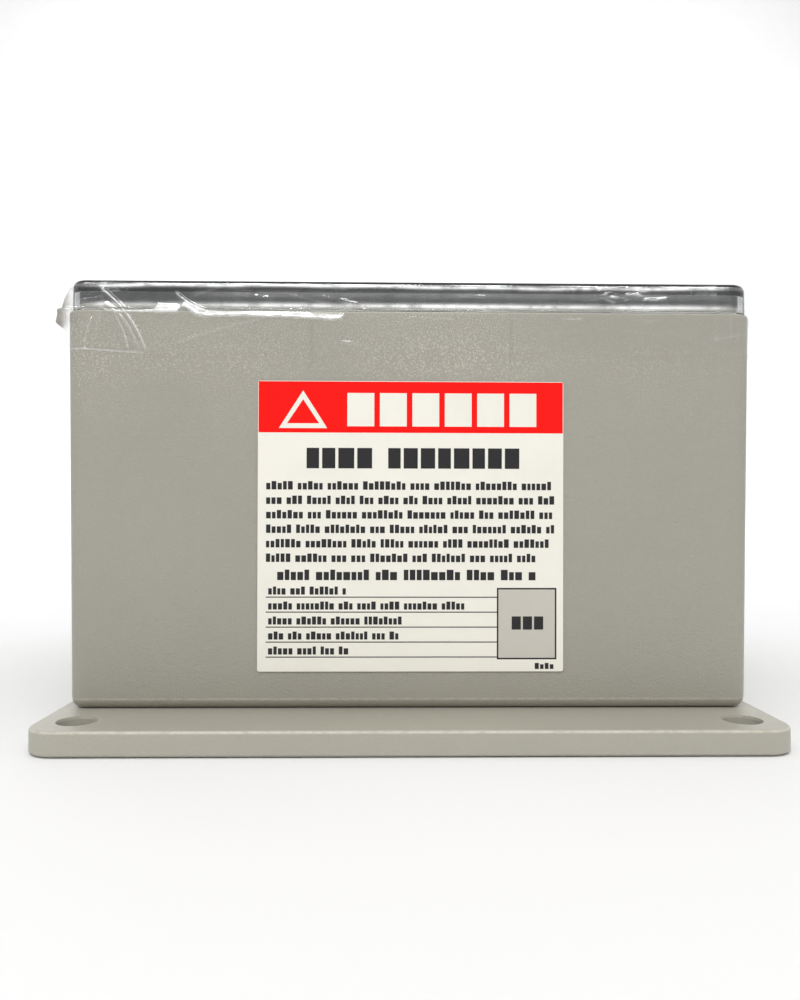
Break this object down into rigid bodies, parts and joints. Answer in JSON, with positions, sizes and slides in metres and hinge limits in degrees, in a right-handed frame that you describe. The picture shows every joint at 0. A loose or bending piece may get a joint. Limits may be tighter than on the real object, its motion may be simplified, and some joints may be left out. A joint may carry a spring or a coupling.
{
  "type": "surge protective device enclosure",
  "caption": "Square grey plastic enclosure on a flanged mounting plate, with a clear screwed cover, wrapped in clear film, labelled on one side, holding surge suppression modules.",
  "frame": {"origin": "centre of the mounting plate's underside", "axes": "+Z from the plate towards the clear cover, +Y along the plate's length towards the cable entry, -Y towards the labelled wall, +X across the plate"},
  "size_m": [0.1754, 0.211, 0.1136],
  "materials": {
    "grey_plate": "fine texture",
    "grey_box": "fine stipple texture",
    "clear_cover": "clear, lightly smoked",
    "clear_film": "clear, creased",
    "gasket_rubber": "matt",
    "label_paper": "satin printed film",
    "steel_screws": "bright zinc",
    "brass": "turned",
    "zinc_steel": "zinc plated",
    "green_board": "green solder mask",
    "black_board": "black solder mask",
    "housing_plastic": "satin",
    "varistor_blue": "epoxy coated",
    "slider_green": "moulded",
    "spring_steel": "drawn wire",
    "copper": "tinned copper",
    "fuse_ceramic": "glazed tube with metal caps",
    "tinned_bronze": "tinned",
    "capacitor_yellow": "moulded box",
    "block_black": "moulded",
    "spacer_nylon": "natural nylon",
    "led_lens": "tinted lens",
    "part_black": "moulded",
    "header_cream": "moulded",
    "wire_grey": "PVC insulation",
    "wire_black": "PVC insulation",
    "wire_orange": "PVC insulation",
    "wire_white": "PVC insulation",
    "wire_green": "PVC insulation"
  },
  "bodies": {
    "root": {"mounting_plate": "grey_plate", "enclosure_box": "grey_box", "nipple_seal": "gasket_rubber", "front_label": "label_paper", "plate_screws": "steel_screws", "panel_screws": "steel_screws", "board_fasteners": "steel_screws", "status_screws": "steel_screws", "terminal_screws": "steel_screws", "ground_stud": "steel_screws", "post_inserts": "brass", "board_standoffs": "brass", "conduit_nipple": "zinc_steel", "nipple_locknut": "zinc_steel", "back_panel": "zinc_steel", "main_board": "green_board", "status_board": "black_board", "varistor_housing_a": "housing_plastic", "varistor_housing_b": "housing_plastic", "varistor_housing_c": "housing_plastic", "varistor_housing_n": "housing_plastic", "varistor_a": "varistor_blue", "varistor_b": "varistor_blue", "varistor_c": "varistor_blue", "varistor_n": "varistor_blue", "trip_spring_a": "spring_steel", "trip_spring_b": "spring_steel", "trip_spring_c": "spring_steel", "trip_spring_n": "spring_steel", "line_tabs": "copper", "ground_lug": "copper", "fuses": "fuse_ceramic", "fuse_clips": "tinned_bronze", "filter_capacitors": "capacitor_yellow", "terminal_block": "block_black", "status_spacers": "spacer_nylon", "status_leds": "led_lens", "status_parts": "part_black", "harness_headers": "header_cream", "status_harness": "wire_grey", "phase_leads": "wire_black", "phase_b_lead": "wire_orange", "neutral_lead": "wire_white", "ground_leads": "wire_green"},
    "cover": {"clear_cover": "clear_cover", "cover_gasket": "gasket_rubber", "screw_seals": "gasket_rubber"},
    "film": {"protective_film": "clear_film"},
    "screw_front_left": {"cover_screw_front_left": "steel_screws"},
    "screw_front_right": {"cover_screw_front_right": "steel_screws"},
    "screw_rear_left": {"cover_screw_rear_left": "steel_screws"},
    "screw_rear_right": {"cover_screw_rear_right": "steel_screws"},
    "disconnector_a": {"disconnect_slider_a": "slider_green", "bridge_contact_a": "copper"},
    "disconnector_b": {"disconnect_slider_b": "slider_green", "bridge_contact_b": "copper"},
    "disconnector_c": {"disconnect_slider_c": "slider_green", "bridge_contact_c": "copper"},
    "disconnector_n": {"disconnect_slider_n": "slider_green", "bridge_contact_n": "copper"}
  },
  "joints": [
    {"name": "cover_lift", "type": "slide", "parent": "root", "child": "cover", "axis": [0, 0, 1], "range_m": [0, 0.06]},
    {"name": "film_lift", "type": "slide", "parent": "cover", "child": "film", "axis": [0, 0, 1], "range_m": [0, 0.05]},
    {"name": "screw_turn_front_left", "type": "hinge", "parent": "cover", "child": "screw_front_left", "pos_m": [-0.0755, -0.0755, 0.1115], "axis": [0, 0, 1], "continuous": true},
    {"name": "screw_turn_front_right", "type": "hinge", "parent": "cover", "child": "screw_front_right", "pos_m": [0.0755, -0.0755, 0.1115], "axis": [0, 0, 1], "continuous": true},
    {"name": "screw_turn_rear_left", "type": "hinge", "parent": "cover", "child": "screw_rear_left", "pos_m": [-0.0755, 0.0755, 0.1115], "axis": [0, 0, 1], "continuous": true},
    {"name": "screw_turn_rear_right", "type": "hinge", "parent": "cover", "child": "screw_rear_right", "pos_m": [0.0755, 0.0755, 0.1115], "axis": [0, 0, 1], "continuous": true},
    {"name": "disconnect_a", "type": "slide", "parent": "root", "child": "disconnector_a", "axis": [0, 0, 1], "range_m": [0, 0.008], "deforming": ["trip_spring_a"]},
    {"name": "disconnect_b", "type": "slide", "parent": "root", "child": "disconnector_b", "axis": [0, 0, 1], "range_m": [0, 0.008], "deforming": ["trip_spring_b"]},
    {"name": "disconnect_c", "type": "slide", "parent": "root", "child": "disconnector_c", "axis": [0, 0, 1], "range_m": [0, 0.008], "deforming": ["trip_spring_c"]},
    {"name": "disconnect_n", "type": "slide", "parent": "root", "child": "disconnector_n", "axis": [0, 0, 1], "range_m": [0, 0.008], "deforming": ["trip_spring_n"]}
  ]
}
